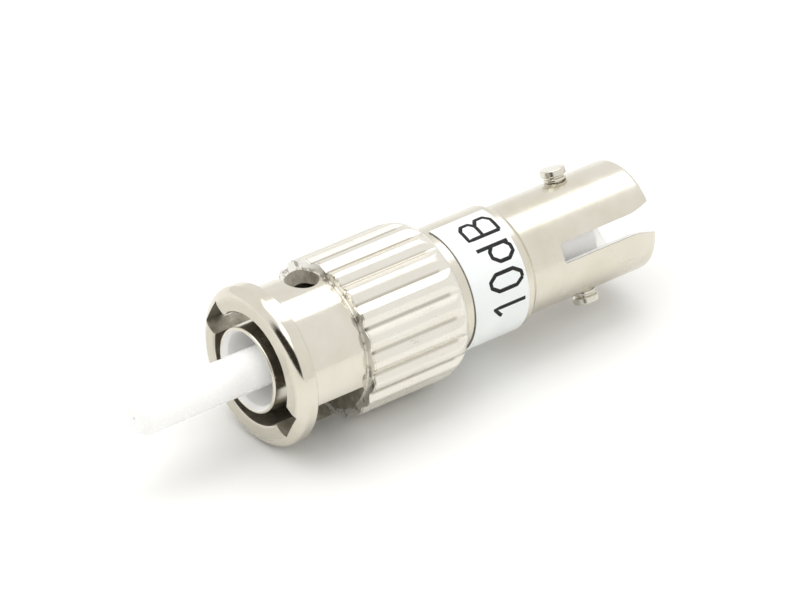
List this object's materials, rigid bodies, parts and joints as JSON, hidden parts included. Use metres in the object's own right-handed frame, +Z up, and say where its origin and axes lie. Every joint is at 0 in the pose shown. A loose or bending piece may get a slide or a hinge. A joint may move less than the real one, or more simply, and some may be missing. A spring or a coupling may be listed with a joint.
{
  "type": "fiber optic attenuator",
  "caption": "In-line fibre optic attenuator: keyed plug with long ceramic ferrule and sprung bayonet coupling nut at one end, lugged receptacle with keyway at the other.",
  "frame": {"origin": "on the floor under the middle of the length, below the common axis", "axes": "+X along the common axis from the ferrule to the receptacle, +Z up as it lies on a floor, +Y away from the side that shows the keyway"},
  "size_m": [0.0364, 0.01, 0.0101],
  "materials": {
    "nickel": "bright nickel plate, faint turning marks",
    "brass": "turned",
    "spring_steel": "bright",
    "ceramic": "polished white zirconia ceramic",
    "fibre_glass": "polished glass",
    "label_film": "white film with black figures"
  },
  "bodies": {
    "housing": {"ferrule": "ceramic", "attenuating_fibre": "fibre_glass", "ferrule_collar": "brass", "sleeve_cap": "brass", "split_sleeve": "ceramic", "sleeve_holder": "brass", "plug_barrel": "nickel", "alignment_key": "spring_steel", "retaining_ring": "spring_steel", "thrust_washer": "spring_steel", "centre_body": "nickel", "rating_label": "label_film", "receptacle": "nickel", "bayonet_lug_upper": "nickel", "bayonet_lug_lower": "nickel"},
    "nut_carrier": {"slip_washer": "spring_steel", "coupling_spring": "spring_steel"},
    "bayonet_nut": {"coupling_nut": "nickel"}
  },
  "joints": [
    {"name": "nut_pull", "type": "slide", "parent": "housing", "child": "nut_carrier", "axis": [-1, 0, 0], "range_m": [0, 0.0015], "stiffness_N_per_m": 2500, "deforming": ["coupling_spring"]},
    {"name": "nut_turn", "type": "hinge", "parent": "nut_carrier", "child": "bayonet_nut", "pos_m": [0, 0, 0.00504], "axis": [1, 0, 0], "continuous": true}
  ]
}
